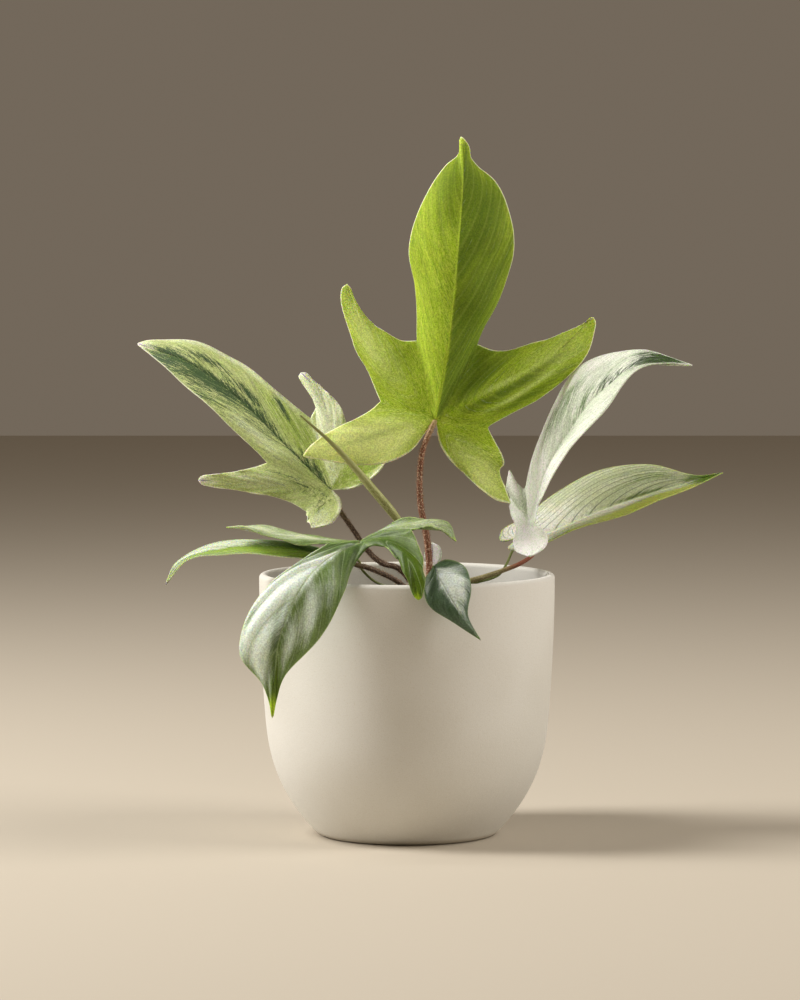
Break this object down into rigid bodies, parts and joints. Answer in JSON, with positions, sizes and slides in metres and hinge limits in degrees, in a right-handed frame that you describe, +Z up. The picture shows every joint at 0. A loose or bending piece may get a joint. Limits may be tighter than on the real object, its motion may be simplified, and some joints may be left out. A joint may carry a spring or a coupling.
{
  "type": "potted florida ghost philodendron",
  "caption": "Young climbing aroid with deeply lobed lime, mottled and white leaves on thin stalks, standing in a rounded matte ceramic pot.",
  "frame": {"origin": "centre of the pot's foot, on the plane that it rests on", "axes": "+Z up along the pot's axis; -Y towards the front, where one leaf hangs over the rim; +X to the viewer's right"},
  "size_m": [0.2821, 0.1534, 0.3312],
  "materials": {
    "lime_blade": "satin leaf",
    "mottled_blade": "satin leaf",
    "white_blade": "satin leaf",
    "pale_blade": "satin leaf",
    "green_blade": "glossy leaf",
    "dark_blade": "glossy leaf",
    "strap_blade": "satin leaf",
    "new_leaf": "satin leaf",
    "dry_sheath": "papery",
    "red_brown_stalk": "hairy",
    "dark_brown_stalk": "hairy",
    "green_stalk": "satin",
    "crown": "rough",
    "potting_mix": "crumbly, moist",
    "pot_ceramic": "matte, fine grained"
  },
  "bodies": {
    "root": {"lime_leaf_blade": "lime_blade", "lime_leaf_petiole": "red_brown_stalk", "mottled_leaf_blade": "mottled_blade", "mottled_leaf_petiole": "dark_brown_stalk", "white_leaf_blade": "white_blade", "white_leaf_petiole": "red_brown_stalk", "pale_leaf_blade": "pale_blade", "pale_leaf_petiole": "green_stalk", "arching_leaf_blade": "green_blade", "arching_leaf_petiole": "dark_brown_stalk", "small_dark_leaf_blade": "dark_blade", "small_dark_leaf_petiole": "green_stalk", "strap_leaf": "strap_blade", "small_white_leaf": "white_blade", "new_leaf_spear": "new_leaf", "spear_sheath": "dry_sheath", "crown": "crown", "potting_mix": "potting_mix", "pot": "pot_ceramic"}
  },
  "joints": []
}
